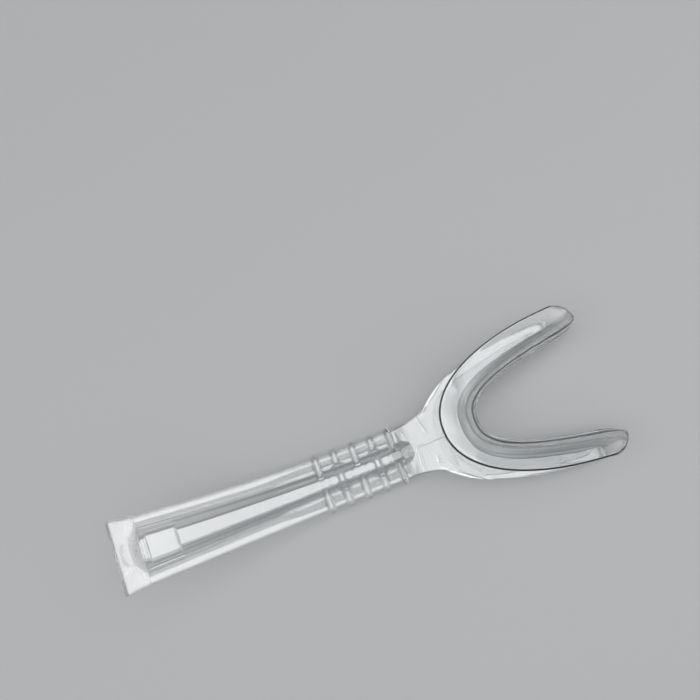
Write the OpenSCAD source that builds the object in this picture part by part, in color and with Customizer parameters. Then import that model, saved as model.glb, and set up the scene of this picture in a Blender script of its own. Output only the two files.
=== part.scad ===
// Double-lipped cheek retractor, moulded in one piece from clear plastic.
// Lengths are in millimetres. The part lies as it rests on a table: the underside of
// the grip and the tips of the outer lip touch the table, and the tail stands up.
// X runs from the tail to the tips of the arms, and Y = 0 is the plane of symmetry.
// Depths (t) are measured down from the crest of the handle's rails.

/* [Handle] */
// Distance along X from the tail edge to the lowest point of the handle's curve
handle_low_x = 88; // [84:1:90]
// Radius of the handle's side curve, along the crests of the rails
handle_r = 155; // [145:1:175]
// Thickness of the handle from rail crest to underside
handle_t = 4.9; // [4.5:0.1:5.5]
// How much is taken off the curve below the grip, so that it rests on a flat land
land_cut = 0.1; // [0.05:0.05:0.2]
// Width at the grip
grip_w = 17.7; // [16:0.1:19]
// Width behind the tail flange
tail_w = 22.6; // [21:0.1:24]
// Extra width of the tail flange's end
flange_flare = 1.6; // [0:0.1:2]
// Length of the tail flange
flange_l = 6.3; // [6:0.1:7]

/* [Groove] */
// Width of the groove at the tail
groove_tail_w = 15.6; // [14:0.1:16]
// Width of the groove at the grip
groove_grip_w = 10; // [9:0.1:11]
// Depth of the groove's middle
groove_mid_t = 2.7; // [2:0.1:3]
// Depth of the groove's floor at the foot of its sides
groove_edge_t = 0.9; // [0.7:0.1:1.2]
// Width of the narrow ledge along each side of the groove
ledge_w = 1.1; // [0.8:0.1:1.4]
// Height of the blank pad at the tail end of the groove
pad_h = 0.3; // [0.2:0.1:0.5]
// Where the pad ends, from the tail edge
pad_end_x = 17; // [15:1:19]

/* [Grip bars] */
// Distance from the tail edge to the first bar
bar_first_x = 63.7; // [62:0.1:65]
// Distance from bar to bar
bar_pitch = 6.5; // [6.2:0.1:6.6]
// Width of a bar
bar_w = 2.8; // [2.4:0.1:3]
// Height of a bar
bar_h = 1.3; // [0.8:0.1:1.5]
// How far down the handle's side a bar reaches
bar_side_t = 2.8; // [2:0.1:3.4]

/* [Neck] */
// Where the groove ends and the neck begins
neck_x = 92; // [92:0.5:93]
// Height of the neck's top
neck_top_z = 8.8; // [8:0.1:9.5]
// Height of the arch under the neck
neck_arch_z = 6; // [5:0.1:6.5]

/* [Head] */
// Distance from the tail edge to the tips of the arms
tip_x = 161.5; // [160:0.5:164]
// Distance from the tail edge to the inside of the U
saddle_x = 118.5; // [117:0.5:120]
// Width between the arms, at their tips
mouth_w = 35.7; // [34:0.1:38]
// Length and width of the inner lip's outline
inner_lip_l = 54.4; // [54:0.1:57]
inner_lip_w = 49.6; // [49:0.1:52]
// Length and width of the outer lip's outline
outer_lip_l = 61; // [60:0.5:62]
outer_lip_w = 51; // [50:0.1:52]
// Height of the inner lip's edge above the neck, and at the arms
rim_base_z = 28.6; // [27:0.1:30]
rim_arm_z = 24.2; // [23:0.1:25]
// Thickness of the wall, and of the inner lip's edge
wall_t = 1.9; // [1.6:0.1:2.2]
rim_t = 1.5; // [1.2:0.1:1.8]
// Thickness of the outer lip
outer_lip_t = 2; // [1.8:0.1:2.4]
// Where the tips of the arms begin to round off
nose_x = 149; // [147:1:151]
// How far the tips of the outer lip dip, to meet the table
tip_dip = 0.41; // [0.2:0.01:0.41]

/* [Hidden] */
$fn = 96;
clear_plastic = [0.82, 0.9, 0.92];

// The origin is under the middle of the bounding box
tail_round = 0.3;
tail_end_x = handle_low_x * (1 - (handle_r + handle_t - tail_round) / handle_r);
middle_x = (tail_end_x + tip_x) / 2;

function smooth(a) = let (c = min(max(a, 0), 1)) c * c * (3 - 2 * c);
function mix(a, b, k) = a + (b - a) * k;
function bezier(p, k) =
    pow(1 - k, 3) * p[0] + 3 * k * pow(1 - k, 2) * p[1] + 3 * k * k * (1 - k) * p[2] + pow(k, 3) * p[3];
function bezier_way(p, k) =
    3 * pow(1 - k, 2) * (p[1] - p[0]) + 6 * k * (1 - k) * (p[2] - p[1]) + 3 * k * k * (p[3] - p[2]);

// Heights of the underside and the top, from the grip to the tips
arms_start_x = 108;
arch_ease = 0.7;
top_full_x = 104;
lip_flush_x = 116;
under_power = 1.9;
dip_l = 9;
grip_top_z = handle_t - land_cut;
function under_z(x) = x < arms_start_x
    ? neck_arch_z * smooth(pow(max(0, (x - handle_low_x) / (arms_start_x - handle_low_x)), arch_ease))
    : neck_arch_z * (1 - pow(min((x - arms_start_x) / (tip_x - arms_start_x), 1), under_power))
        - tip_dip * smooth((x - nose_x) / dip_l);
function top_z(x) = x < top_full_x
    ? mix(grip_top_z, neck_top_z, smooth((x - handle_low_x) / (top_full_x - handle_low_x)))
    : mix(neck_top_z, under_z(x) + outer_lip_t, smooth((x - top_full_x) / (lip_flush_x - top_full_x)));

// A point of the handle: x along the rail crests, y across, and depth t
function handle_point(x, y, t) = x <= handle_low_x
    ? let (turn = asin((handle_low_x - x) / handle_r), r = handle_r + t)
        [handle_low_x - r * sin(turn), y, max(0, handle_r + grip_top_z - r * cos(turn))]
    : [x, y, mix(top_z(x), under_z(x), t / handle_t)];

// Half widths of the handle and of the groove
taper_l = 75;
taper_power = 1.4;
flare_l = 8;
function half_w(x) = grip_w / 2
    + (tail_w - grip_w) / 2 * pow(max(1 - x / taper_l, 0), taper_power)
    + flange_flare / 2 * pow(max(1 - x / flare_l, 0), 2);
function groove_w(x) = mix(groove_grip_w, groove_tail_w, pow(max(1 - x / taper_l, 0), taper_power)) / 2;

// From the ledge, the top of a rail slopes up to its crest. The slope is wider at the grip
slope_end_t = 0.12;
slope_rise = 0.26;
slope_tail_w = 1.3;
slope_grip_w = 2.2;
slope_from_x = 42;
slope_to_x = 58;
function slope_w(x) =
    mix(slope_tail_w, slope_grip_w, smooth((x - slope_from_x) / (slope_to_x - slope_from_x)));
function ledge_t(x) = slope_end_t + slope_rise * slope_w(x);

// The groove's floor is a shallow trough between two narrow ledges. Its points i run
// from 0 in the middle, over the shares of the trough's half width, to the ledge's outer edge
trough_shares = [0, 0.17, 0.34, 0.51, 0.68, 0.85, 1];
trough_power = 2.5;
floor_last = len(trough_shares);
function floor_point(x, i) = i < 0
    ? [-floor_point(x, -i)[0], floor_point(x, -i)[1]]
    : i == floor_last
        ? [groove_w(x), ledge_t(x)]
        : [
            trough_shares[i] * (groove_w(x) - ledge_w),
            mix(groove_mid_t, groove_edge_t, pow(trough_shares[i], trough_power))
        ];

// The top of a rail from the groove to the handle's side, and its underside
crest_inset = 1.2;
corner = 1;
corner_mid = 0.3;
function rail_top(x) = let (g = groove_w(x), w = half_w(x)) [
    [g, ledge_t(x)],
    [g + slope_w(x), slope_end_t],
    [(g + slope_w(x) + w - crest_inset) / 2, slope_end_t / 2],
    [w - crest_inset, 0],
    [w - corner_mid, corner_mid],
    [w, corner]
];
function rail_under(x) = let (g = groove_w(x), w = half_w(x)) [
    [g, handle_t],
    [g + slope_w(x), handle_t],
    [(g + slope_w(x) + w - corner) / 2, handle_t],
    [w - corner, handle_t],
    [w - corner_mid, handle_t - corner_mid],
    [w, handle_t - corner]
];

// Stations along the handle. Each bar has its own stations, so that it meets the surface exactly
bar_steps = [-1, -0.8, -0.45, 0, 0.45, 0.8, 1];
bar_rise = [0.08, 0.45, 0.88, 1, 0.88, 0.45, 0.08];
bar_count = 5;
function bar_x(i) = bar_first_x + i * bar_pitch;
pad_start_x = flange_l + 0.5;
pad_steps = 4;
pad_stations = [for (k = [0:pad_steps]) mix(pad_start_x, pad_end_x, k / pad_steps)];
plain_steps = 15;
plain_stations = [for (k = [1:plain_steps]) mix(pad_end_x, bar_x(0) - bar_w / 2, k / (plain_steps + 1))];
bar_stations = [for (i = [0:bar_count - 1], s = bar_steps) bar_x(i) + s * bar_w / 2];
// One more station stands where the flat land under the grip ends
handle_stations = concat(
    [flange_l], pad_stations, plain_stations,
    [for (x = bar_stations) if (x < handle_low_x) x],
    [handle_low_x],
    [for (x = bar_stations) if (x > handle_low_x) x],
    [neck_x]
);

// A solid from sections. Each section is a pair of point lists of one length:
// its upper side and its under side
module loft(sections) {
    count = len(sections);
    n = len(sections[0][0]);
    ring = 2 * n;
    points = [for (s = sections) each concat(s[0], [for (i = [n - 1:-1:0]) s[1][i]])];
    sides = [
        for (k = [0:count - 2], i = [0:ring - 1])
            let (a = k * ring + i, b = k * ring + (i + 1) % ring, c = b + ring, d = a + ring)
                each [[a, b, c], [a, c, d]]
    ];
    ends = [
        for (k = [0, count - 1], i = [0:n - 2])
            let (a = k * ring + i, b = a + 1, d = k * ring + ring - 1 - i, c = d - 1)
                each k == 0 ? [[a, c, b], [a, d, c]] : [[a, b, c], [a, c, d]]
    ];
    translate([-middle_x, 0, 0]) polyhedron(points, concat(sides, ends), convexity = 10);
}

module handle_loft(stations, upper, under) {
    loft([
        for (x = stations) [
            [for (p = upper(x)) handle_point(x, p[0], p[1])],
            [for (p = under(x)) handle_point(x, p[0], p[1])]
        ]
    ]);
}

module rail() {
    handle_loft(handle_stations, function(x) rail_top(x), function(x) rail_under(x));
}

module left_rail() {
    color(clear_plastic) rail();
}

module right_rail() {
    color(clear_plastic) mirror([0, 1, 0]) rail();
}

module handle_web() {
    color(clear_plastic) handle_loft(
        handle_stations,
        function(x) [for (i = [-floor_last:floor_last]) floor_point(x, i)],
        function(x) [for (i = [-floor_last:floor_last]) [floor_point(x, i)[0], handle_t]]
    );
}

// The pad follows the groove's floor and has a flatter top
pad_crown = 0.8;
pad_last = floor_last - 1;
module blank_pad() {
    color(clear_plastic) handle_loft(
        pad_stations,
        function(x) [
            for (i = [-pad_last:pad_last])
                floor_point(x, i) - [0, pad_h + pad_crown * (1 - pow(trough_shares[abs(i)], 2))]
        ],
        function(x) [for (i = [-pad_last:pad_last]) floor_point(x, i)]
    );
}

// The tail flange is full across, and its head side is scooped out by a leaning cylinder
scoop_lean = 40;
scoop_half_w = 9.8;
scoop_l = 40;
flange_round_l = 0.6;
flange_stations = [0, 0.2, flange_round_l, 2, 4, flange_l];
function flange_top(x, inset) = let (w = half_w(x) - inset) [
    [-w, corner], [-w + corner_mid, corner_mid + inset], [-w + crest_inset, inset],
    [w - crest_inset, inset], [w - corner_mid, corner_mid + inset], [w, corner]
];
function flange_under(x, inset) = let (w = half_w(x) - inset, t = handle_t - inset) [
    [-w, handle_t - corner], [-w + corner_mid, t - corner_mid], [-w + corner, t],
    [w - corner, t], [w - corner_mid, t - corner_mid], [w, handle_t - corner]
];
module tail_flange() {
    inset = function(x) tail_round * pow(max(1 - x / flange_round_l, 0), 2);
    scoop_t = groove_mid_t;
    lean = scoop_lean + asin((handle_low_x - flange_l) / handle_r);
    flat = scoop_t * cos(scoop_lean);
    scoop_r = (scoop_half_w * scoop_half_w + flat * flat) / (2 * flat);
    foot = handle_point(flange_l, 0, scoop_t);
    color(clear_plastic) difference() {
        handle_loft(
            flange_stations,
            function(x) flange_top(x, inset(x)),
            function(x) flange_under(x, inset(x))
        );
        translate([foot[0] - middle_x + scoop_r * sin(lean), 0, foot[2] + scoop_r * cos(lean)])
            rotate([0, lean - 90, 0]) cylinder(h = scoop_l, r = scoop_r, center = true);
    }
}

// A grip bar lies on a path across the handle. The path is a function of x that gives
// points [y, t], and ends gives the bar's height at each of them as a share of the full height
function path_lean(p, i) = let (
    a = p[max(i - 1, 0)],
    b = p[min(i + 1, len(p) - 1)],
    way = (b - a) / norm(b - a)
) [way[1], -way[0]];
// On a rail, a bar's back runs nearly level from the crest into the groove
back_slope = 0.06;
function back_t(x, y) = back_slope * (half_w(x) - crest_inset - y);
function bar_top(p, i, x, rise, level) = level && p[i][0] <= half_w(x) - crest_inset
    ? p[i] - [0, rise * (bar_h + p[i][1] - back_t(x, p[i][0]))]
    : p[i] + path_lean(p, i) * bar_h * rise;
module bar(number, path, ends, level) {
    color(clear_plastic) loft([
        for (k = [0:len(bar_steps) - 1])
            let (x = bar_x(number) + bar_steps[k] * bar_w / 2, p = path(x)) [
                [
                    for (i = [0:len(p) - 1])
                        let (q = bar_top(p, i, x, bar_rise[k] * ends[i], level))
                            handle_point(x, q[0], q[1])
                ],
                [for (i = [0:len(p) - 1]) handle_point(x, p[i][0], p[i][1])]
            ]
    ]);
}

// Paths over one rail and down its side, from a place in the groove
function side_path(x, from) = concat(
    [for (i = [from:floor_last]) floor_point(x, i)],
    [for (i = [1:5]) rail_top(x)[i]],
    [[half_w(x), bar_side_t]]
);
long_from = 2;
short_from = 6;
centre_to = 3;
long_ends = [0.3, 0.85, 1, 1, 1, 1, 1, 1, 1, 1, 0.85, 0.3];
short_ends = [0.3, 0.9, 1, 1, 1, 1, 0.85, 0.3];
centre_ends = [0.3, 0.85, 1, 1, 1, 0.85, 0.3];
module long_bar(number) {
    bar(2 * number, function(x) side_path(x, long_from), long_ends, true);
}
module short_bar(number) {
    bar(2 * number + 1, function(x) side_path(x, short_from), short_ends, true);
}
module centre_bar(number) {
    floor_path = function(x) [for (i = [-centre_to:centre_to]) floor_point(x, i)];
    bar(2 * number + 1, floor_path, centre_ends, false);
}

// The head. Stations v run from 0 at the middle of the U to 1 at the tip of an arm
arm_stations = concat([for (k = [0:21]) 0.044 * k], [0.95, 0.972, 0.988, 1]);
arm_last = len(arm_stations) - 1;
head_stations = [for (j = [arm_last:-1:-arm_last]) j];
inner_power = 2.15;
outer_power = 2.3;
saddle_power = 0.37;
tip_flare = 1.2;
tip_flare_v = 0.9;
rim_power = 0.82;
rim_fall = 9;
rim_droop = 0.0022;
function station(j) = arm_stations[abs(j)];
// The inside of the U, in plan
function saddle_plan(v) = [
    mix(saddle_x, tip_x, v * v),
    mouth_w / 2 * pow(v, 2 * saddle_power)
        + tip_flare * pow(max((v - tip_flare_v) / (1 - tip_flare_v), 0), 2)
];
// The inner lip's edge, in plan
function rim_plan(v) = let (turn = 90 * pow(v, rim_power), k = 2 / inner_power) [
    tip_x - inner_lip_l * pow(cos(turn), k),
    inner_lip_w / 2 * pow(sin(turn), k)
];
function across(v) = let (way = rim_plan(v) - saddle_plan(v)) way / norm(way);
// How far the outer lip's outline is from the inside of the U, found by halving
function outside(p) =
    pow(abs(tip_x - p[0]) / outer_lip_l, outer_power) + pow(abs(p[1]) / (outer_lip_w / 2), outer_power) > 1;
function reach(p, way, low, high, left) = left == 0 ? (low + high) / 2
    : let (half = (low + high) / 2)
        outside(p + way * half) ? reach(p, way, low, half, left - 1) : reach(p, way, half, high, left - 1);
reach_min = 3;
reach_max = 30;
halvings = 24;
tip_narrow = 0.3;
tip_narrow_v = 0.93;
outer_reach = [
    for (v = arm_stations)
        reach(saddle_plan(v), across(v), reach_min, reach_max, halvings)
            * (1 - tip_narrow * pow(max((v - tip_narrow_v) / (1 - tip_narrow_v), 0), 2))
];
// The height of the inner lip's edge
function rim_z(x) = let (back = x - (tip_x - inner_lip_l))
    mix(rim_arm_z, rim_base_z, exp(-back / rim_fall)) - rim_droop * pow(max(x - saddle_x, 0), 2);
// The tips of the arms are round in side view: h is the height as a share of the arm's
nose_half_h = 0.52;
nose_power = 3;
nose_start_power = 1.8;
nose_l = tip_x - nose_x;
function nose_pull(h) = 1 - pow(1 - pow(abs(h - 0.5) / nose_half_h, nose_power), 1 / nose_power);
function nose(x, h) = x < nose_x ? x
    : x - nose_pull(h) * nose_l * pow((x - nose_x) / nose_l, nose_start_power);

// The wall's curve in section: [distance outwards, height], above and below its innermost point
foot_l = 6.2;
foot_share = 0.62;
innermost_share = 0.45;
// The curves' middle points, as shares of the distance outwards and of the height
above_bend = [0.36, 0.275, 0.4];
below_bend = [0.6, 0.42];
function foot_at(j) = min(foot_l, foot_share * outer_reach[abs(j)]);
function wall_above(v) = let (
    d = norm(rim_plan(v) - saddle_plan(v)),
    top = rim_z(rim_plan(v)[0]),
    mid = mix(under_z(saddle_plan(v)[0]), top, innermost_share)
) [
    [d, top],
    [above_bend[0] * d, mix(top, mid, above_bend[1])],
    [0, mix(top, mid, above_bend[2])],
    [0, mid]
];
function wall_below(j) = let (
    v = station(j),
    d = foot_at(j),
    foot = under_z(saddle_plan(v)[0] + across(v)[0] * d),
    mid = wall_above(v)[3][1]
) [[0, mid], [0, mix(mid, foot, below_bend[0])], [below_bend[1] * d, foot], [d, foot]];
// A point of the head: j is the station, p = [distance outwards, height], h as in nose()
function head_point(j, p, h) = let (
    v = station(j),
    plan = saddle_plan(v) + across(v) * p[0]
) [nose(plan[0], h), (j < 0 ? -1 : 1) * plan[1], p[1]];
function arm_share(j, z) = let (
    v = station(j),
    low = under_z(saddle_plan(v)[0]),
    top = rim_z(rim_plan(v)[0])
) min(max((z - low) / (top - low), 0), 1);
// The thickness is thinner at the very tip, so that the tip has a round edge
tip_thickness = [1, 0.95, 0.8, 0.5];
function tip_thin(j) = tip_thickness[max(abs(j) - arm_last + len(tip_thickness) - 1, 0)];
// Both faces of the wall at the share k of a curve: [mouth side, channel side]
function wall_pair(j, curve, k, thick) = let (
    p = bezier(curve, k),
    way = bezier_way(curve, k),
    out = [-way[1], way[0]] / norm(way),
    thin = thick * (1 - tip_thin(j)) / 2,
    h = arm_share(j, p[1])
) [head_point(j, p + out * thin, h), head_point(j, p + out * (thick - thin), h)];

// The inner lip, from its rounded edge to where the wall turns down
lip_shares = [0, 0.15, 0.3, 0.45, 0.6];
edge_round = 0.45;
function lip_pairs(j) = [
    for (k = lip_shares) wall_pair(j, wall_above(station(j)), k, mix(rim_t, wall_t, k))
];
function edge_pair(pairs) = let (
    a = pairs[0][0],
    b = pairs[0][1],
    way = a - pairs[1][0],
    out = way / norm(way) * edge_round
) [mix(a, b, 0.25) + out, mix(a, b, 0.75) + out];
function sides(pairs) = [[for (p = pairs) p[0]], [for (p = pairs) p[1]]];
module inner_lip() {
    color(clear_plastic) loft([
        for (j = head_stations) let (pairs = lip_pairs(j)) sides(concat([edge_pair(pairs)], pairs))
    ]);
}

// The wall on the inside of the U
above_shares = [0.6, 0.7, 0.8, 0.9, 1];
below_shares = [0.2, 0.4, 0.6, 0.75];
function below_pair(j, k) = let (
    v = station(j),
    foot_x = saddle_plan(v)[0] + across(v)[0] * foot_at(j),
    foot_t = top_z(foot_x) - under_z(foot_x)
) wall_pair(j, wall_below(j), k, mix(wall_t, foot_t, k));
module saddle_wall() {
    color(clear_plastic) loft([
        for (j = head_stations) sides(concat(
            [for (k = above_shares) wall_pair(j, wall_above(station(j)), k, mix(rim_t, wall_t, k))],
            [for (k = below_shares) below_pair(j, k)]
        ))
    ]);
}

// The outer lip, from the wall's foot to the outline. Its edge is round where it is free,
// and flat where the neck joins it
foot_shares = [0.75, 0.88, 1];
plate_shares = [0.3, 0.65];
edge_inset = 0.5;
edge_shares = [0.3, 0.7];
// Along the arms, the outer lip sinks a little towards its edge
camber = 0.5;
camber_v = [0.3, 0.6];
join_last = len([for (k = [0:arm_last]) if (outer_edge(k)[0] < lip_flush_x) k]) - 1;
function outer_edge(j) = let (v = station(j), plan = saddle_plan(v) + across(v) * outer_reach[abs(j)])
    [plan[0], (j < 0 ? -1 : 1) * plan[1]];
function sink(j, d, x) = camber * pow(max(0, (d - foot_at(j)) / (outer_reach[abs(j)] - foot_at(j))), 2)
    * smooth((station(j) - camber_v[0]) / (camber_v[1] - camber_v[0])) * smooth((tip_x - x) / dip_l);
function plate_pair(j, d) = let (
    x = saddle_plan(station(j))[0] + across(station(j))[0] * d,
    thin = outer_lip_t * (1 - tip_thin(j)) / 2,
    low = sink(j, d, x)
) [head_point(j, [d, under_z(x) + thin - low], 0), head_point(j, [d, top_z(x) - thin - low], 0)];
function plate_edge(j) = let (
    edge = outer_reach[abs(j)],
    free = abs(j) > join_last,
    x = outer_edge(j)[0],
    low = sink(j, edge, x)
) free
    ? [
        plate_pair(j, edge - edge_inset),
        [for (k = edge_shares) head_point(j, [edge, mix(under_z(x), top_z(x), k) - low], 0)]
    ]
    : [plate_pair(j, edge - edge_inset), plate_pair(j, edge)];
module outer_lip() {
    color(clear_plastic) loft([
        for (j = head_stations) sides(concat(
            [for (k = foot_shares) below_pair(j, k)],
            [for (k = plate_shares) plate_pair(j, mix(foot_at(j), outer_reach[abs(j)] - edge_inset, k))],
            plate_edge(j)
        ))
    ]);
}

// The neck widens from the handle to the outer lip
neck_steps = 14;
join = [for (j = [0:join_last]) outer_edge(j)];
neck_side_x = 107.5;
neck_bend = [4.8, 2];
neck_outline = [
    [neck_x, grip_w / 2],
    [neck_side_x, grip_w / 2],
    join[join_last] - neck_bend,
    join[join_last]
];
neck_flat_inset = 1.8;
// Each way across the neck: its start on the handle, its end on the outer lip, and its depth
neck_ways = concat(
    [
        for (j = [0:join_last - 1])
            [[neck_x, (grip_w / 2 - neck_flat_inset) * join[j][1] / join[join_last - 1][1]], join[j], 0]
    ],
    [
        for (edge = [[crest_inset, 0.4, 0], [corner_mid, 0.8, corner_mid], [0, 1, corner]])
            [[neck_x, grip_w / 2 - edge[0]], mix(join[join_last - 1], join[join_last], edge[1]), edge[2]]
    ]
);
neck_last = len(neck_ways) - 1;
function neck_point(s, i, top) = let (
    out = bezier(neck_outline, s),
    along = (out[0] - neck_x) / (join[join_last][0] - neck_x),
    wide = (out[1] - grip_w / 2) / (join[join_last][1] - grip_w / 2),
    way = neck_ways[abs(i)],
    x = mix(neck_x, way[1][0], along),
    y = mix(way[0][1], way[1][1], wide),
    t = way[2] * (1 - s * s) / handle_t
) [x, (i < 0 ? -1 : 1) * y, mix(top_z(x), under_z(x), top ? t : 1 - t)];
end_lean = 42;
end_half_w = 5.3;
module neck() {
    foot_z = mix(top_z(neck_x), under_z(neck_x), groove_mid_t / handle_t);
    flat = groove_mid_t * cos(end_lean);
    scoop_r = (end_half_w * end_half_w + flat * flat) / (2 * flat);
    color(clear_plastic) difference() {
        loft([
            for (k = [0:neck_steps]) [
                [for (i = [-neck_last:neck_last]) neck_point(k / neck_steps, i, true)],
                [for (i = [-neck_last:neck_last]) neck_point(k / neck_steps, i, false)]
            ]
        ]);
        translate([neck_x - middle_x - scoop_r * sin(end_lean), 0, foot_z + scoop_r * cos(end_lean)])
            rotate([0, 90 - end_lean, 0]) cylinder(h = scoop_l, r = scoop_r, center = true);
    }
}

module left_long_bar_1() { long_bar(0); }
module left_long_bar_2() { long_bar(1); }
module left_long_bar_3() { long_bar(2); }
module right_long_bar_1() { mirror([0, 1, 0]) long_bar(0); }
module right_long_bar_2() { mirror([0, 1, 0]) long_bar(1); }
module right_long_bar_3() { mirror([0, 1, 0]) long_bar(2); }
module left_short_bar_1() { short_bar(0); }
module left_short_bar_2() { short_bar(1); }
module right_short_bar_1() { mirror([0, 1, 0]) short_bar(0); }
module right_short_bar_2() { mirror([0, 1, 0]) short_bar(1); }
module centre_bar_1() { centre_bar(0); }
module centre_bar_2() { centre_bar(1); }

tail_flange();
handle_web();
left_rail();
right_rail();
blank_pad();
left_long_bar_1();
left_long_bar_2();
left_long_bar_3();
right_long_bar_1();
right_long_bar_2();
right_long_bar_3();
left_short_bar_1();
left_short_bar_2();
right_short_bar_1();
right_short_bar_2();
centre_bar_1();
centre_bar_2();
neck();
outer_lip();
saddle_wall();
inner_lip();
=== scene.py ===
import math

import bpy
from mathutils import Matrix, Vector


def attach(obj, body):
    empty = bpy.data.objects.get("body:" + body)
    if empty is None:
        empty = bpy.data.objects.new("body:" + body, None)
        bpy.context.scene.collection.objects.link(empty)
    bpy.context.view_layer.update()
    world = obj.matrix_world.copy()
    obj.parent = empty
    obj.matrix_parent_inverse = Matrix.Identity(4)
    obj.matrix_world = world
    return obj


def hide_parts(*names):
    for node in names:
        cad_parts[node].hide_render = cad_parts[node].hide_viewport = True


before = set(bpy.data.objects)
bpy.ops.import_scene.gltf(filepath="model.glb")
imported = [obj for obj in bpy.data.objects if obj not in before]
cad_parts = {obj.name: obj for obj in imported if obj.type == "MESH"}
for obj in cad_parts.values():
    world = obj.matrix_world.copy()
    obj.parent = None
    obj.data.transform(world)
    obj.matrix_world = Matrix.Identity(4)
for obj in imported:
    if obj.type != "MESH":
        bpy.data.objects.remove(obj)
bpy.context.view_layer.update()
mm = 0.001

# Lengths are in millimetres and x is counted from the tail edge, as in the part's source.
# Depths are counted down from the crests of the handle's rails. The moulding is drawn region
# by region: neighbours share a face that light passes straight through.

ends = {"tail": -2.612, "tip": 161.5}
middleX = (ends["tail"] + ends["tip"]) / 2


def mix(a, b, k):
    return a + (b - a) * k


def smooth(k):
    k = min(max(k, 0.0), 1.0)
    return k * k * (3 - 2 * k)


def spread(a, b, count):
    return [mix(a, b, k / count) for k in range(count + 1)]


# The last value, between two limits, for which a test holds
def lastWhere(low, high, holds):
    for halving in range(40):
        half = (low + high) / 2
        if holds(half):
            low = half
        else:
            high = half
    return low


# The pieces' faces. A face is a list of points in millimetres, seen from outside
pieces = {}
plasticFace, seamFace = 0, 1
weld = 10000               # points that agree to this many parts of a millimetre are one point


def addFace(name, points, kind=plasticFace):
    piece = pieces.setdefault(name, {"points": [], "index": {}, "faces": [], "kinds": []})
    corners = []
    for p in points:
        key = tuple(round(c * weld) for c in p)
        if key not in piece["index"]:
            piece["index"][key] = len(piece["points"])
            piece["points"].append((p[0], p[1], p[2]))
        i = piece["index"][key]
        if not corners or (corners[-1] != i and corners[0] != i):
            corners.append(i)
    if len(corners) > 2:
        piece["faces"].append(corners)
        piece["kinds"].append(kind)


# A face and its mirror image on the other side of the part
def addBoth(name, points, kind=plasticFace, mirrored=None):
    addFace(name, points, kind)
    addFace(mirrored or name, [(p[0], -p[1], p[2]) for p in reversed(points)], kind)


def rowFaces(name, rowA, rowB):
    for k in range(len(rowA) - 1):
        addBoth(name, [rowA[k], rowA[k + 1], rowB[k + 1], rowB[k]])


# Top, underside and outer side of a region, from its rows of points
def shellFaces(name, tops, lows):
    for a, b in zip(tops, tops[1:]):
        rowFaces(name, a, b)
    for a, b in zip(lows, lows[1:]):
        rowFaces(name, b, a)
    rowFaces(name, tops[-1], lows[-1])


handle = {
    "lowX": 88.0,
    "radius": 155.0,
    "thickness": 4.9,
    "landCut": 0.1,
    "gripWidth": 17.7,
    "tailWidth": 22.6,
    "flare": 1.6,
    "flareLength": 8.0,
    "taperLength": 75.0,
    "taperPower": 1.4,
    "crestInset": 0.9,
    "corner": 0.9,
    "endX": 92.0,
}
neck = {
    "topZ": 8.8,
    "archZ": 6.0,
    "topFullX": 104.0,
    "archEase": 0.7,
    "archPower": 1.9,
    "armsStartX": 108.0,
    "flushX": 116.0,
    "scoopSlope": 0.9,
    "sideX": 107.5,
    "sideInset": (4.8, 2.0),
    "fanPower": 1.25,      # how the handle's rows fan out along the lip
    "firstColumn": 0.03,
}


# Heights of the underside and the top, from the grip to the tips
def underZ(x):
    if x < neck["armsStartX"]:
        share = max(0, (x - handle["lowX"]) / (neck["armsStartX"] - handle["lowX"]))
        return neck["archZ"] * smooth(share ** neck["archEase"])
    share = min((x - neck["armsStartX"]) / (ends["tip"] - neck["armsStartX"]), 1)
    dip = head["tipDip"] * smooth((x - head["noseX"]) / head["dipLength"])
    return neck["archZ"] * (1 - share ** neck["archPower"]) - dip


def topZ(x):
    low = handle["thickness"] - handle["landCut"]
    if x < neck["topFullX"]:
        share = smooth((x - handle["lowX"]) / (neck["topFullX"] - handle["lowX"]))
        return mix(low, neck["topZ"], share)
    share = smooth((x - neck["topFullX"]) / (neck["flushX"] - neck["topFullX"]))
    return mix(neck["topZ"], underZ(x) + head["plate"], share)


def handlePoint(x, y, t):
    if x > handle["lowX"]:
        return (x, y, mix(topZ(x), underZ(x), t / handle["thickness"]))
    r = handle["radius"]
    turn = math.asin((handle["lowX"] - x) / r)
    z = r + handle["thickness"] - handle["landCut"] - (r + t) * math.cos(turn)
    return (handle["lowX"] - (r + t) * math.sin(turn), y, max(0.0, z))


def taper(x):
    return max(1 - x / handle["taperLength"], 0) ** handle["taperPower"]


def halfWidth(x):
    grow = (handle["tailWidth"] - handle["gripWidth"]) / 2 * taper(x)
    flare = handle["flare"] / 2 * max(1 - x / handle["flareLength"], 0) ** 2
    return handle["gripWidth"] / 2 + grow + flare


def grooveHalf(x):
    return mix(groove["gripWidth"], groove["tailWidth"], taper(x)) / 2


groove = {
    "tailWidth": 15.6,
    "gripWidth": 10.0,
    "midDepth": 2.7,
    "edgeDepth": 0.9,
    "power": 2.5,
    "ledge": 1.1,          # width of the ledges inside the groove's edge
    "ledgeFoot": 0.82,
    "footRise": 0.07,      # share of the ledges' rise at their foot
    "ledgeSteps": ((0.66, 0.44), (0.48, 0.6), (0.25, 0.67)),  # distance to the edge, share of rise
    "slopeDepth": 0.12,
    "slopeRise": 0.26,
    "slopeTail": 1.3,
    "slopeGrip": 2.2,
    "slopeX": (42.0, 58.0),
}


# Depth of a rail's top: two narrow ledges at the groove, a slope and a nearly flat crest
def slopeEnd(x):
    start, end = groove["slopeX"]
    return mix(groove["slopeTail"], groove["slopeGrip"], smooth((x - start) / (end - start)))


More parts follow.
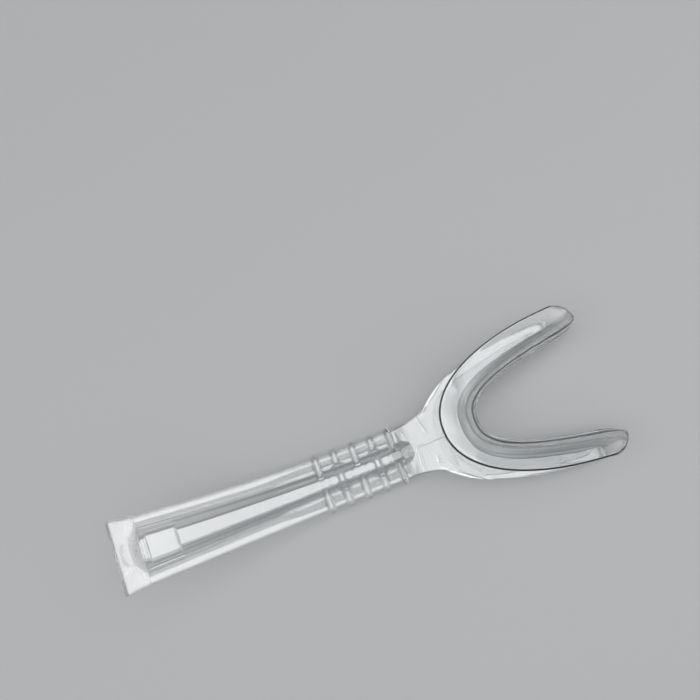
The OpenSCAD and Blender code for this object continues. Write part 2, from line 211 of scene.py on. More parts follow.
def railDepth(x, out, width):
    edge = groove["edgeDepth"]
    ledge = groove["slopeDepth"] + groove["slopeRise"] * slopeEnd(x)
    knots = [(-groove["ledge"], edge), (-groove["ledgeFoot"], mix(edge, ledge, groove["footRise"]))]
    knots += [(-back, mix(edge, ledge, rise)) for back, rise in groove["ledgeSteps"]]
    knots += [(0, ledge), (slopeEnd(x), groove["slopeDepth"]), (width, 0)]
    for (a, low), (b, high) in zip(knots, knots[1:]):
        if out <= b or b == width:
            return mix(low, high, min(1, (out - a) / (b - a)))


# The handle's section. Places q along its upper half run 0 to 1 over the groove, to 2 at the
# crest, to 3 at the end of the rounded corner and to 4 at the foot of the side
def sectionPoint(x, q):
    g, w = grooveHalf(x), halfWidth(x)
    corner, inset = handle["corner"], handle["crestInset"]
    inner = g - groove["ledge"]
    if q * g <= inner:
        rise = (q * g / inner) ** groove["power"]
        return (q * g, mix(groove["midDepth"], groove["edgeDepth"], rise))
    if q <= 2:
        y = q * g if q <= 1 else mix(g, w - inset, q - 1)
        return (y, railDepth(x, y - g, w - inset - g))
    if q <= 3:
        turn = math.radians(90 * (q - 2))
        return (w - inset * (1 - math.sin(turn)), corner * (1 - math.cos(turn)))
    return (w, mix(corner, handle["thickness"] - corner, q - 3))


def underPoint(x, q):
    g, w, corner, thick = grooveHalf(x), halfWidth(x), handle["corner"], handle["thickness"]
    if q <= 1:
        return (q * g, thick)
    if q <= 2:
        return (mix(g, w - corner, q - 1), thick)
    turn = math.radians(90 * (q - 2))
    return (w - corner * (1 - math.sin(turn)), thick - corner * (1 - math.cos(turn)))


def sideShare(t):
    corner = handle["corner"]
    return 3 + (t - corner) / (handle["thickness"] - 2 * corner)


bars = {
    "count": 5,
    "firstX": 63.7,
    "pitch": 6.5,
    "width": 2.8,
    "height": 1.3,
    "domeShare": 0.8,      # share of the half width where the small fillet at the foot begins
    "domeSpan": 0.86,      # where the dome would meet the handle without the fillet
    "filletPower": 2.4,
    "longAxis": 2.65,      # where the long bars' round inner ends begin, from the middle
    "centreAxis": 1.0,
    "longRound": 1.2,      # lengths of the round ends
    "shortRound": 0.85,
    "sideAxis": 1.9,       # depth on the handle's side where the round outer ends begin
    "sideRound": 0.9,
    "backSlope": 0.06,
    "lean": 36.0,          # degrees that a bar on the groove's wall leans
    "leanTurn": 0.9,
}


# How far the raised bars lean from upright at a place, in degrees
def leanAt(q):
    turn = bars["leanTurn"]
    if q <= turn:
        return -bars["lean"] * q
    if q <= 2:
        return mix(-bars["lean"] * turn, 0, smooth((q - turn) / (2 - turn)))
    return 90 * min(q - 2, 1)


# Rows of points across the upper half, with the number of cells after each named row. The rows
# are the ends of the bars (A, B, C, K, S), the groove's ledge and edge (L, G) and the rail's
# slope, crest and corner
rowCounts = (("middle", 5), ("A", 6), ("B", 5), ("L", 1), ("C", 5), ("G", 9), ("step", 4),
             ("crest", 7), ("corner", 2), ("K", 4), ("S", 1), ("end", 0))
rowAt = {}
rowCount = 0
for rowName, cellCount in rowCounts:
    rowAt[rowName] = rowCount
    rowCount += cellCount
rowCount += 1
cornerRow = rowAt["corner"]
plainPlaces = {"A": 0.25, "B": 0.5, "S": 0.7}  # where the bars' rows run on between the bars


# The kind of bar at x, and how full its outline is there: 1 at its middle and 0 at its sides
def barKind(x):
    for i in range(bars["count"]):
        off = (x - bars["firstX"] - i * bars["pitch"]) / (bars["width"] / 2)
        if abs(off) < 1.0001:
            return ("short" if i % 2 else "long", math.sqrt(max(0, 1 - off * off)))
    return (None, 0)


def rowPlaces(x):
    g = grooveHalf(x)
    places = {
        "middle": 0,
        "A": plainPlaces["A"],
        "B": plainPlaces["B"],
        "L": 1 - groove["ledge"] / g,
        "C": 1 - groove["ledgeFoot"] / g,
        "G": 1,
        "step": 1 + slopeEnd(x) / (halfWidth(x) - handle["crestInset"] - g),
        "crest": 2,
        "corner": 3,
        "K": sideShare(bars["sideAxis"]),
        "S": sideShare(bars["sideAxis"] + bars["sideRound"] * plainPlaces["S"]),
        "end": 4,
    }
    kind, fullness = barKind(x)
    if kind == "long":
        places["A"] = (bars["longAxis"] - bars["longRound"] * fullness) / g
        places["B"] = bars["longAxis"] / g
    if kind == "short":
        places["A"] = bars["centreAxis"] / g
        places["B"] = (bars["centreAxis"] + bars["longRound"] * fullness) / g
        places["C"] = 1 - bars["shortRound"] * fullness / g
    if kind:
        places["S"] = sideShare(bars["sideAxis"] + bars["sideRound"] * fullness)
    result = []
    names = [name for name, cells in rowCounts]
    for (name, cells), after in zip(rowCounts, names[1:]):
        for k in range(cells):
            share = k / cells
            if name == "C" or name == "A" and kind != "short":
                share = 1 - math.cos(math.pi / 2 * share)
            elif name in ("A", "K"):
                share = math.sin(math.pi / 2 * share)
            result.append(mix(places[name], places[after], share))
    return result + [places["end"]]


def centreEnd(x):
    return (bars["centreAxis"] + bars["longRound"] + grooveHalf(x)) / 2


# Height of a bar above the handle: a dome with a small fillet round its foot
def barHeight(x, q):
    kind, fullness = barKind(x)
    g = grooveHalf(x)
    y, t = sectionPoint(x, q)
    over = max(0, t - bars["sideAxis"]) / bars["sideRound"] if q > 3 else 0
    if kind == "long":
        over = max(over, (bars["longAxis"] - y) / bars["longRound"])
    elif y > centreEnd(x):
        over = max(over, (g - y) / bars["shortRound"])
    else:
        over = max(0, y - bars["centreAxis"]) / bars["longRound"]
    r = math.sqrt(max(0, 1 - fullness * fullness + over * over))
    if r < bars["domeShare"]:
        return bars["height"] * math.sqrt(1 - (r / bars["domeSpan"]) ** 2)
    foot = math.sqrt(1 - (bars["domeShare"] / bars["domeSpan"]) ** 2)
    left = max(0, 1 - (r - bars["domeShare"]) / (1 - bars["domeShare"]))
    return bars["height"] * foot * left ** bars["filletPower"]


pad = {
    "start": 6.8,
    "end": 17.0,
    "height": 0.3,
    "crown": 0.8,
    "ledge": 1.3,
    "slope": 0.8,
    "step": 0.3,           # length of the step behind the ledge
    "ledgeShare": 0.55,    # heights of the ledge and of the far end, as shares of the full one
    "endShare": 0.35,
}


def padHeight(x, q):
    share = 1 - groove["ledge"] / grooveHalf(x)
    full = pad["height"] + pad["crown"] * (1 - (q / share) ** 2)
    behind = smooth((x - pad["start"] - pad["ledge"]) / pad["step"])
    towardsEnd = smooth((x - pad["end"] + pad["slope"]) / pad["slope"])
    return full * mix(pad["ledgeShare"], 1, behind) * mix(1, pad["endShare"], towardsEnd)


# A raised point. The rail bars' backs run nearly level from the crest into the groove
def raised(x, q, height):
    y, t = sectionPoint(x, q)
    kind = barKind(x)[0]
    lean = math.radians(leanAt(q))
    if q <= 2 and (kind == "long" or kind and y > centreEnd(x)):
        level = bars["backSlope"] * (halfWidth(x) - handle["crestInset"] - y)
        t = mix(t, level, height / bars["height"])
        lean = 0
    return (y + height * math.sin(lean), t - height * math.cos(lean))


def barPiece(number, side, row):
    if number % 2 == 0:
        return f"{side}_long_bar_{number // 2 + 1}"
    if row < rowAt["B"]:
        return f"centre_bar_{number // 2 + 1}"
    return f"{side}_short_bar_{number // 2 + 1}"


def inBar(number, row):
    if number % 2 == 0:
        return rowAt["A"] <= row < rowAt["S"]
    return row < rowAt["B"] or rowAt["C"] <= row < rowAt["S"]


def barAt(a, b):
    for i in range(bars["count"]):
        x = bars["firstX"] + i * bars["pitch"]
        if abs((a + b) / 2 - x) < bars["width"] / 2:
            return i
    return None


flange = {
    "length": 6.3,
    "scoopSlope": 0.84,
    "round": 0.3,
    "roundLength": 0.6,
    "thinnest": 0.12,      # least depth at which the scoop's crease is drawn
    "markX": 2.1,          # shallow oval mark
    "markHalf": (1.15, 3.9),
    "markEdge": 0.3,
    "markDepth": 0.25,
}


def handleStations():
    half = bars["width"] / 2
    ledgeEnd = pad["start"] + pad["ledge"]
    stations = [flange["length"], (flange["length"] + pad["start"]) / 2]
    stations += spread(pad["start"], ledgeEnd, 3)
    stations += spread(ledgeEnd, ledgeEnd + pad["step"], 4)[1:]
    stations += spread(ledgeEnd + pad["step"], pad["end"] - pad["slope"], 9)[1:]
    stations += spread(pad["end"] - pad["slope"], pad["end"], 5)[1:]
    stations += spread(pad["end"], bars["firstX"] - half, 52)[1:-1]
    for i in range(bars["count"]):
        x = bars["firstX"] + i * bars["pitch"]
        stations += [x - half * math.cos(math.pi * k / 12) for k in range(13)]
        if i < bars["count"] - 1:
            stations += spread(x + half, x + bars["pitch"] - half, 4)[1:-1]
        else:
            stations += spread(x + half, handle["endX"], 2)[1:]
    return stations


plainRow = rowPlaces(flange["length"])[:cornerRow + 1]  # places on the underside


def sectionRing(x):
    places = rowPlaces(x)
    upper = [handlePoint(x, *sectionPoint(x, q)) for q in places]
    under = [handlePoint(x, *underPoint(x, q)) for q in plainRow]
    return places, upper, under


def handlePieces(row):
    if row < rowAt["G"]:
        return ("handle_web", "handle_web")
    return ("left_rail", "right_rail")


def buildHandle():
    stations = handleStations()
    rings = [sectionRing(x) for x in stations]
    gRow, padRow = rowAt["G"], rowAt["L"]
    for k in range(len(stations) - 1):
        xa, xb = stations[k], stations[k + 1]
        (pa, ua, da), (pb, ub, db) = rings[k], rings[k + 1]
        number = barAt(xa, xb)
        inPad = pad["start"] - 0.01 < (xa + xb) / 2 < pad["end"]
        for i in range(rowCount - 1):
            piece, other = handlePieces(i)
            quad = [ua[i], ub[i], ub[i + 1], ua[i + 1]]
            corners = ((xa, pa[i]), (xb, pb[i]), (xb, pb[i + 1]), (xa, pa[i + 1]))
            if number is not None and inBar(number, i):
                top, topOther = barPiece(number, "left", i), barPiece(number, "right", i)
                heights = [barHeight(x, q) for x, q in corners]
            elif inPad and i < padRow:
                top = topOther = "blank_pad"
                heights = [padHeight(x, q) for x, q in corners]
            else:
                addBoth(piece, quad, plasticFace, other)
                continue
            high = [handlePoint(x, *raised(x, q, h)) for (x, q), h in zip(corners, heights)]
            addBoth(piece, quad, seamFace, other)
            addBoth(top, high, plasticFace, topOther)
            addBoth(top, quad[::-1], seamFace, topOther)
            if inPad:
                if i == padRow - 1:
                    addBoth(top, [quad[3], quad[2], high[2], high[3]][::-1])
                if abs(xa - pad["start"]) < 0.01:
                    addBoth(top, [quad[0], quad[3], high[3], high[0]][::-1])
                if abs(xb - pad["end"]) < 0.01:
                    addBoth(top, [quad[2], quad[1], high[1], high[2]][::-1])
        for i in range(cornerRow):
            piece, other = handlePieces(i)
            addBoth(piece, [da[i + 1], db[i + 1], db[i], da[i]], plasticFace, other)
        addBoth("left_rail", [ua[-1], ub[-1], db[-1], da[-1]], plasticFace, "right_rail")
        wall = [ua[gRow], ub[gRow], db[gRow], da[gRow]]
        addBoth("handle_web", wall, seamFace)
        addBoth("left_rail", wall[::-1], seamFace, "right_rail")
    return rings[0], rings[-1]


# A face between the top and the underside. The last one takes in the whole rounded corner
def endFace(upper, under, i):
    outer = upper[i + 1:] if i == cornerRow - 1 else [upper[i + 1]]
    return [upper[i]] + outer + [under[i + 1], under[i]]


def capRing(ring, atStart, web, left, right):
    places, upper, under = ring
    for i in range(cornerRow):
        quad = endFace(upper, under, i)
        inWeb = i < rowAt["G"]
        addBoth(web if inWeb else left, quad if atStart else quad[::-1], seamFace,
                web if inWeb else right)


# The tail flange, full across and scooped towards the groove
def buildFlange(ring):
    places, upper, under = ring
    length, slope = flange["length"], flange["scoopSlope"]
    starts = [0, 0.04, 0.12, 0.25, 0.42, 0.6]
    markX, markHalf = flange["markX"], flange["markHalf"]

    def inset(x):
        return flange["round"] * max(1 - x / flange["roundLength"], 0) ** 2

    def columnsFor(q):
        t = sectionPoint(length, q)[1] if q < 2 else 0
        crease = length - max(t, flange["thinnest"]) / slope
        return starts + spread(starts[-1], crease, 7)[1:] + spread(crease, length, 8)[1:]

    def widen(x, y):
        end = halfWidth(length)
        return y + (halfWidth(x) - inset(x) - end) * (y / end) ** 3

    def topPoint(x, q):
        y, t = sectionPoint(length, q)
        if q < 2:
            t = max(0, t - (length - x) * slope)
        if q < 3:
            t += inset(x) * (1 if q < 2 else 3 - q)
        inside = 1 - math.hypot((x - markX) / markHalf[0], y / markHalf[1])
        t += flange["markDepth"] * smooth(inside / flange["markEdge"])
        return handlePoint(x, widen(x, y), t)

    def lowPoint(x, q):
        y, t = underPoint(length, q)
        return handlePoint(x, widen(x, y), t - inset(x) * (1 if q < 2 else 3 - q))

    tops = [[topPoint(x, q) for x in columnsFor(q)] for q in places]
    lows = [[lowPoint(x, q) for x in columnsFor(q)] for q in places[:cornerRow + 1]]
    for rows, joined in ((tops, upper), (lows, under)):
        for row, point in zip(rows, joined):
            row[-1] = point
    shellFaces("tail_flange", tops, lows)
    for i in range(cornerRow):
        addBoth("tail_flange", endFace([row[0] for row in tops], [row[0] for row in lows], i))


head = {
    "saddleX": 118.5,
    "mouthWidth": 35.7,
    "saddlePower": 0.74,
    "innerLength": 54.4,
    "innerWidth": 49.6,
    "innerPower": 2.15,
    "rimTurn": 0.82,
    "outerLength": 61.0,
    "outerWidth": 51.0,
    "outerPower": 2.3,
    "reach": (3.0, 30.0),  # least and greatest reach of the outer lip
    "trimFrom": 0.93,      # the outer lip is trimmed back towards the tip
    "trim": 0.3,
    "rimBaseZ": 28.6,
    "rimArmZ": 24.2,
    "rimFall": 9.0,
    "rimDroop": 0.0022,
    "wall": 1.9,
    "rim": 1.5,
    "plate": 2.0,
    "waist": 0.45,         # height of the wall's innermost line, as a share
    "rimReach": 0.36,
    "rimHeights": (0.275, 0.4),
    "foot": 6.2,
    "footShare": 0.62,
    "footHeight": 0.6,
    "footReach": 0.42,
    "noseX": 149.0,
    "noseHalf": 0.52,
    "nosePower": 3,
    "nosePull": 1.8,
    "tipDip": 0.41,
    "dipLength": 9.0,
    "tipFlare": 1.2,
    "flareFrom": 0.9,
    "tipStart": 0.955,     # where the walls begin to thin towards the tip
    "tipThin": 0.4,
    "camber": 0.5,
    "camberRise": (0.3, 0.6),
    "ridge": 0.35,         # parting ridge along the wall's innermost line
    "ridgeHalf": 0.4,
    "ridgeEnd": 0.05,
    "edgeWidth": 0.5,      # width and squareness of the rounded edges
    "edgeOut": 0.45,
    "edgeSquare": 1.6,
    "joinBlend": 0.03,
}


# The head's shape in plan. Places v run from 0 at the middle of the U to 1 at an arm's tip
def saddlePlan(v):
    flare = head["tipFlare"] * max((v - head["flareFrom"]) / (1 - head["flareFrom"]), 0) ** 2
    return Vector((mix(head["saddleX"], ends["tip"], v * v),
                   head["mouthWidth"] / 2 * v ** head["saddlePower"] + flare))


def rimPlan(v):
    turn = math.radians(90 * v ** head["rimTurn"])
    k = 2 / head["innerPower"]
    return Vector((ends["tip"] - head["innerLength"] * max(math.cos(turn), 0) ** k,
                   head["innerWidth"] / 2 * math.sin(turn) ** k))


def acrossAt(v):
    return (rimPlan(v) - saddlePlan(v)).normalized()


def inOutline(p):
    power = head["outerPower"]
    along = abs(ends["tip"] - p.x) / head["outerLength"]
    aside = abs(p.y) / (head["outerWidth"] / 2)
    return along ** power + aside ** power <= 1


def outerReach(v):
    start, way = saddlePlan(v), acrossAt(v)
    reach = lastWhere(*head["reach"], lambda d: inOutline(start + way * d))
    return reach * (1 - head["trim"] * max((v - head["trimFrom"]) / (1 - head["trimFrom"]), 0) ** 2)


def outerEdge(v):
    return saddlePlan(v) + acrossAt(v) * outerReach(v)


def rimZ(x):
    back = x - (ends["tip"] - head["innerLength"])
    fall = mix(head["rimArmZ"], head["rimBaseZ"], math.exp(-back / head["rimFall"]))
    return fall - head["rimDroop"] * max(x - head["saddleX"], 0) ** 2


# The arms' tips are round in side view: h is the height as a share of the arm's
def noseAt(x, h):
    if x < head["noseX"]:
        return x
    length = ends["tip"] - head["noseX"]
    power = head["nosePower"]
    pull = 1 - max(0, 1 - (abs(h - 0.5) / head["noseHalf"]) ** power) ** (1 / power)
    return x - pull * length * ((x - head["noseX"]) / length) ** head["nosePull"]


def bezier(p, k):
    shares = ((1 - k) ** 3, 3 * k * (1 - k) ** 2, 3 * k * k * (1 - k), k ** 3)
    return Vector([sum(share * point[i] for share, point in zip(shares, p)) for i in (0, 1)])


def bezierWay(p, k):
    shares = (3 * (1 - k) ** 2, 6 * k * (1 - k), 3 * k * k)
    steps = list(zip(shares, p, p[1:]))
    return Vector([sum(share * (b[i] - a[i]) for share, a, b in steps) for i in (0, 1)])


# The wall's curve in section, as (distance outwards, height), above and below its innermost line
def wallAbove(v):
    d = (rimPlan(v) - saddlePlan(v)).length
    top = rimZ(rimPlan(v).x)
    mid = mix(underZ(saddlePlan(v).x), top, head["waist"])
    near, far = head["rimHeights"]
    return [(d, top), (head["rimReach"] * d, mix(top, mid, near)), (0, mix(top, mid, far)), (0, mid)]


def footAt(v):
    return min(head["foot"], head["footShare"] * outerReach(v))


def wallBelow(v):
    d = footAt(v)
    foot = underZ(saddlePlan(v).x + acrossAt(v).x * d)
    mid = wallAbove(v)[3][1]
    return [(0, mid), (0, mix(mid, foot, head["footHeight"])), (head["footReach"] * d, foot), (d, foot)]


def tipThin(v):
    past = max(0, (v - head["tipStart"]) / (1 - head["tipStart"]))
    return mix(head["tipThin"], 1, math.sqrt(max(0, 1 - past ** 2)))


def headPoint(v, d, z, h):
    plan = saddlePlan(v) + acrossAt(v) * d
    return (noseAt(plan.x, h), plan.y, z)


def armShare(v, z):
    low, top = underZ(saddlePlan(v).x), rimZ(rimPlan(v).x)
    return min(max((z - low) / (top - low), 0), 1)


# The wall's inner and outer face at one place of its curve
def wallPair(v, curve, k, thick):
    p, way = bezier(curve, k), bezierWay(curve, k)
    out = Vector((-way.y, way.x)).normalized()
    thin = thick * (1 - tipThin(v)) / 2
    h = armShare(v, p.y)
    off = min(abs(p.y - wallAbove(v)[3][1]) / head["ridgeHalf"], 1)
    ridge = head["ridge"] * math.sqrt(1 - off * off) * smooth((1 - v) / head["ridgeEnd"])
    a, b = p + out * (thin - ridge), p + out * (thick - thin)
    return headPoint(v, a.x, a.y, h), headPoint(v, b.x, b.y, h)


def abovePair(v, k):
    return wallPair(v, wallAbove(v), k, mix(head["rim"], head["wall"], k))


def belowPair(v, k):
    footX = saddlePlan(v).x + acrossAt(v).x * footAt(v)
    return wallPair(v, wallBelow(v), k, mix(head["wall"], topZ(footX) - underZ(footX), k))


def platePoint(v, d, upper):
    x = saddlePlan(v).x + acrossAt(v).x * d
    thin = head["plate"] * (1 - tipThin(v)) / 2
    far = max(0, (d - footAt(v)) / (outerReach(v) - footAt(v)))
    start, full = head["camberRise"]
    sink = head["camber"] * far * far * smooth((v - start) / (full - start))
    sink *= smooth((ends["tip"] - x) / head["dipLength"])
    return headPoint(v, d, (topZ(x) - thin if upper else underZ(x) + thin) - sink, 0)


# Places along the wall's two curves and across the lips. They are closer at the parting ridge
lipShares = spread(0, 0.6, 12)
wallShares = spread(0.6, 0.95, 7) + [0.972, 0.9802, 0.9815, 0.984, 0.99, 1]
belowShares = [0, 0.01, 0.018, 0.022, 0.026] + spread(0.05, 0.75, 13)
footShares = spread(0.75, 1, 4)
plateSteps = 9
edgeSteps = 8


# Sine and cosine along an edge's cap, and the same for a squarer one that meets the neck
def capTurns():
    for k in range(1, edgeSteps):
        turn = math.pi * k / edgeSteps
        c, s = math.cos(turn), math.sin(turn)
        square = head["edgeSquare"]
        yield c, s, max(-1, min(1, square * c)), min(1, square * s)


def roundEdge(a, b, out):
    a, b, out = Vector(a), Vector(b), Vector(out)
    middle, half = (a + b) / 2, (b - a) / 2
    return [tuple(middle - half * c + out * s) for c, s, hardC, hardS in capTurns()]


def joinedEdge(a, b, low, high, free):
    result = []
    for c, s, hardC, hardS in capTurns():
        outward = mix(hardS, s, free)
        upward = (1 - mix(hardC, c, free)) / 2
        p = Vector(a).lerp(Vector(low), outward)
        q = Vector(b).lerp(Vector(high), outward)
        result.append(tuple(p.lerp(q, upward)))
    return result


def headRow(v, joinV):
    above = [abovePair(v, k) for k in lipShares]
    wall = [abovePair(v, k) for k in wallShares]
    below = [belowPair(v, k) for k in belowShares]
    foot = [belowPair(v, k) for k in footShares]
    reach = outerReach(v)
    plate = [(platePoint(v, d, False), platePoint(v, d, True))
             for d in spread(footAt(v), reach - head["edgeWidth"], plateSteps)[1:]]
    way = Vector(above[0][0]) - Vector(above[1][0])
    rimCap = roundEdge(above[0][1], above[0][0], way.normalized() * head["edgeOut"])
    free = smooth((v - joinV) / head["joinBlend"])
    low, high = platePoint(v, reach, False), platePoint(v, reach, True)
    a, b = plate[-1]
    if free >= 1:
        tilt = ((Vector(low) + Vector(high)) / 2) - ((Vector(a) + Vector(b)) / 2)
        lipCap = roundEdge(a, b, tilt)
    else:
        lipCap = joinedEdge(a, b, low, high, free)
    return {"above": above, "wall": wall, "below": below, "foot": foot + plate,
            "rimEdge": [above[0][1]] + rimCap + [above[0][0]], "lipEdge": [a] + lipCap + [b]}


def stripFaces(name, rowA, rowB):
    for i in range(len(rowA) - 1):
        addBoth(name, [rowA[i + 1][0], rowB[i + 1][0], rowB[i][0], rowA[i][0]])
        addBoth(name, [rowA[i][1], rowB[i][1], rowB[i + 1][1], rowA[i + 1][1]])


headStrips = (("inner_lip", "above"), ("saddle_wall", "wall"), ("saddle_wall", "below"),
              ("outer_lip", "foot"))
headEdges = (("inner_lip", "rimEdge"), ("outer_lip", "lipEdge"))
headSeams = (("inner_lip", "saddle_wall", "wall"), ("saddle_wall", "outer_lip", "foot"))


def buildHead(joinPlaces):
    joinV, tipStart = joinPlaces[-1], head["tipStart"]
    places = joinPlaces + spread(joinV, tipStart, 52)[1:]
    places += [mix(tipStart, 1, math.sin(math.pi / 2 * k / 9)) for k in range(1, 10)]
    rows = [headRow(v, joinV) for v in places]
    for place, a, b in zip(places[1:], rows, rows[1:]):
        for name, strip in headStrips:
            stripFaces(name, a[strip], b[strip])
        for upper, lower, strip in headSeams:
            quad = [a[strip][0][0], b[strip][0][0], b[strip][0][1], a[strip][0][1]]
            addBoth(upper, quad[::-1], seamFace)
            addBoth(lower, quad, seamFace)
        for name, edge in headEdges:
            capA, capB = a[edge], b[edge]
            for i in range(len(capA) - 1):
                joined = edge == "lipEdge" and place <= joinV + 1e-9 and 2 <= i < len(capA) - 3
                addBoth(name, [capA[i + 1], capB[i + 1], capB[i], capA[i]],
                        seamFace if joined else plasticFace)
    last = rows[-1]
    for name, strip in headStrips:
        for p, q in zip(last[strip], last[strip][1:]):
            addBoth(name, [q[0], q[1], p[1], p[0]])
    for name, edge in headEdges:
        addBoth(name, last[edge])


# The neck, from the handle's end to the outer lip's outline
def buildNeck(ring, joinPlaces):
    places, upper, under = ring
    start, thick = handle["endX"], handle["thickness"]
    w = halfWidth(start)
    targets = [outerEdge(v) for v in joinPlaces]
    join = targets[-1]
    insetX, insetY = neck["sideInset"]
    outline = [(start, w), (neck["sideX"], w), (join.x - insetX, join.y - insetY), (join.x, join.y)]
    grooveZ = [mix(topZ(start), underZ(start), sectionPoint(start, q)[1] / thick) for q in places]

    def planAt(i, s):
        out = bezier(outline, s)
        along = (out.x - start) / (join.x - start)
        wide = (out.y - w) / (join.y - w)
        return mix(start, targets[min(i, cornerRow)].x, along), wide

    def scoopZ(i, x):
        return grooveZ[i] + (x - start) * neck["scoopSlope"]

    def topPoint(i, s):
        x, wide = planAt(i, s)
        y, t = sectionPoint(start, places[i])
        y = mix(y, targets[min(i, cornerRow)].y, wide)
        if places[i] < 2:
            return (x, y, min(topZ(x), scoopZ(i, x)))
        if places[i] <= 3:
            t *= 1 - s * s
        else:
            t = mix(t, (places[i] - 3) * thick, s * s)
        return (x, y, mix(topZ(x), underZ(x), t / thick))

    def lowPoint(i, s):
        x, wide = planAt(i, s)
        y, t = underPoint(start, plainRow[i])
        t = mix(t, thick, s * s)
        return (x, mix(y, targets[i].y, wide), mix(topZ(x), underZ(x), t / thick))

    def scooped(i, s):
        x = planAt(i, s)[0]
        return scoopZ(i, x) < topZ(x)

    def columnsFor(i):
        crease = neck["firstColumn"]
        if places[i] < 2:
            crease = max(lastWhere(0.0, 0.6, lambda s: scooped(i, s)), crease)
        return spread(0, crease, 7) + spread(crease, 1, 30)[1:]

    tops = [[topPoint(i, s) for s in columnsFor(i)] for i in range(len(places))]
    lows = [[lowPoint(i, s) for s in columnsFor(i)] for i in range(cornerRow + 1)]
    for rows, joined in ((tops, upper), (lows, under)):
        for row, point in zip(rows, joined):
            row[0] = point
    shellFaces("neck", tops, lows)
    for i in range(cornerRow):
        quad = [tops[i][-1], tops[i + 1][-1], lows[i + 1][-1], lows[i][-1]]
        addBoth("neck", quad[::-1], seamFace)


print("shaping the moulding")
firstRing, lastRing = buildHandle()
capRing(firstRing, True, "handle_web", "left_rail", "right_rail")
capRing(firstRing, False, "tail_flange", "tail_flange", "tail_flange")
capRing(lastRing, False, "handle_web", "left_rail", "right_rail")
capRing(lastRing, True, "neck", "neck", "neck")
buildFlange(firstRing)
joinV = lastWhere(0.05, 0.5, lambda v: outerEdge(v).x < neck["flushX"])
joinPlaces = [joinV * (sectionPoint(handle["endX"], q)[0] / halfWidth(handle["endX"])) ** neck["fanPower"]
              for q in lastRing[0][:cornerRow + 1]]
buildNeck(lastRing, joinPlaces)
buildHead(joinPlaces)


# Fine raised lines that the mould left on the neck, from (x, y) to (x, y)
mouldLines = {
    "neck_centre_line": ((96.8, 0.0), (107.4, 0.0)),
    "neck_cross_line": ((97.0, -0.1), (96.6, -8.4)),
    "neck_end_line": ((107.5, -0.2), (107.9, -10.6)),
    "neck_short_line": ((102.4, -5.0), (101.8, -7.8)),
    "neck_left_line": ((100.2, 9.6), (101.6, 3.4)),
}
lineSize = {"width": 0.56, "height": 0.2, "sunk": 0.06}
owners = {}


def buildLine(name, start, end):
    owners[name] = "neck"
    a, b = Vector(start), Vector(end)
    side = Vector((a.y - b.y, b.x - a.x)).normalized() * lineSize["width"] / 2
    section = ((-1, -lineSize["sunk"]), (-0.5, lineSize["height"]),
               (0.5, lineSize["height"]), (1, -lineSize["sunk"]))
    rows = []
    for k in spread(0, 1, 12):
        points = [(a.lerp(b, k) + side * off, up) for off, up in section]
        rows.append([(q.x, q.y, topZ(q.x) + up) for q, up in points])
    for r, t in zip(rows, rows[1:]):
        for i in range(4):
            j = (i + 1) % 4
            addFace(name, [r[i], t[i], t[j], r[j]])
    addFace(name, rows[0])
    addFace(name, rows[-1][::-1])


for lineName, (lineStart, lineEnd) in mouldLines.items():
    buildLine(lineName, lineStart, lineEnd)


def faceNormal(points, face):
    n = Vector((0, 0, 0))
    for a, b in zip(face, face[1:] + face[:1]):
        p, q = points[a], points[b]
        n += Vector(((p[1] - q[1]) * (p[2] + q[2]), (p[2] - q[2]) * (p[0] + q[0]),
                     (p[0] - q[0]) * (p[1] + q[1])))
    return n


# Normals are shared between the pieces, so that no line shows where they meet
def sharedNormals(limit):
    around = {}
    for piece in pieces.values():
        piece["keys"] = [tuple(round(c * 1000) for c in p) for p in piece["points"]]
        piece["normals"] = [faceNormal(piece["points"], f) for f in piece["faces"]]
        for face, kind, n in zip(piece["faces"], piece["kinds"], piece["normals"]):
            if kind == plasticFace:
                for i in face:
                    around.setdefault(piece["keys"][i], []).append((n, n.normalized()))
    cosLimit = math.cos(math.radians(limit))
    for piece in pieces.values():
        piece["loops"] = []
        for face, kind, n in zip(piece["faces"], piece["kinds"], piece["normals"]):
            own = n.normalized()
            for i in face:
                total = Vector((0, 0, 0))
                if kind == plasticFace:
                    for big, unit in around[piece["keys"][i]]:
                        if unit.dot(own) > cosLimit:
                            total += big
                total = total if total.length > 1e-12 else own
                piece["loops"].append(total.normalized())


# The plastic and its two finishes. Lengths here are in metres
plastic = {
    "ior": 1.585,
    "paintedEdgeShade": (0.8, 0.82, 0.83, 1),         # painted shade: darker colour where the surface is seen edge on, for dark outlines
    "edgePower": 2.5,
    "coatRoughness": 0.02,
    "coatIor": 1.6,
    "marksScale": 260,
    "marksRange": (0.35, 0.75),
    "marksRough": 0.05,
    "shadow": (0.87, 0.88, 0.885, 1),         # what a face and an edge let through to the table
    "edgeShadow": (0.25, 0.26, 0.27, 1),
    "shadowBlend": 0.35,
}
finishes = {
    "clear_plastic": {
        "tint": (0.91, 0.925, 0.93, 1),
        "roughness": 0.02,
        "haze": 0,
        "waveScale": 90,
        "waveDetail": 1.0,
        "waveStretch": (1, 1, 1),
        "waveDepth": 0.00012,
    },
    "frosted_plastic": {
        "tint": (0.93, 0.94, 0.945, 1),
        "roughness": 0.22,
        "haze": 0.15,
        "waveScale": 700,
        "waveDetail": 4.0,
        "waveStretch": (1, 0.3, 1),
        "waveDepth": 0.00016,
    },
}
grainTurn = 0.6


def newMaterial(name):
    material = bpy.data.materials.new(name)
    material.use_nodes = True
    material.node_tree.nodes.clear()
    return material, material.node_tree.nodes, material.node_tree.links


def colourMix(nodes, links, share, first, second):
    node = nodes.new("ShaderNodeMix")
    node.data_type = "RGBA"
    node.inputs[6].default_value = first
    node.inputs[7].default_value = second
    links.new(share, node.inputs[0])
    return node.outputs[2]


